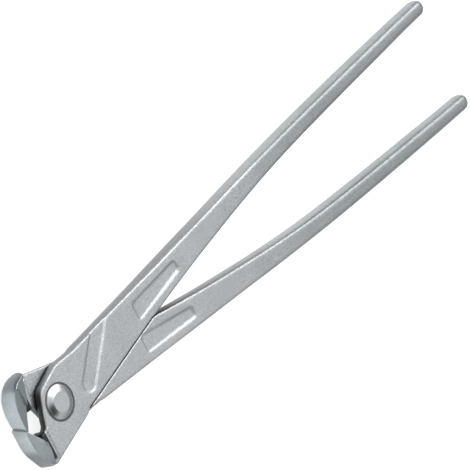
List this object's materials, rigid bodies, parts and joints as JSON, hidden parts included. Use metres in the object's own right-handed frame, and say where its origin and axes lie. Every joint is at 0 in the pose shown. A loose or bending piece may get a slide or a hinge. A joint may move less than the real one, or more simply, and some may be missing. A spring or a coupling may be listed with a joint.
{
  "type": "rebar tying pliers",
  "caption": "Long-handled end-cutting pliers for tying and cutting rebar wire, two forged zinc-plated steel arms crossing in a lap joint on a domed rivet",
  "frame": {"origin": "centre of the bounding box's bottom, with the jaws closed", "axes": "+X from the jaws to the handle tips, +Y towards the handle of the front arm, +Z along the rivet towards the face that the picture shows"},
  "size_m": [0.25, 0.0446, 0.009],
  "materials": {
    "forged_steel": "satin",
    "rivet_steel": "satin"
  },
  "bodies": {
    "front_arm_body": {"front_arm": "forged_steel", "rivet": "rivet_steel"},
    "rear_arm_body": {"rear_arm": "forged_steel"}
  },
  "joints": [
    {"name": "rivet_joint", "type": "hinge", "parent": "front_arm_body", "child": "rear_arm_body", "pos_m": [-0.1075, 0, 0.0045], "axis": [0, 0, -1], "range_deg": [0, 50]}
  ]
}
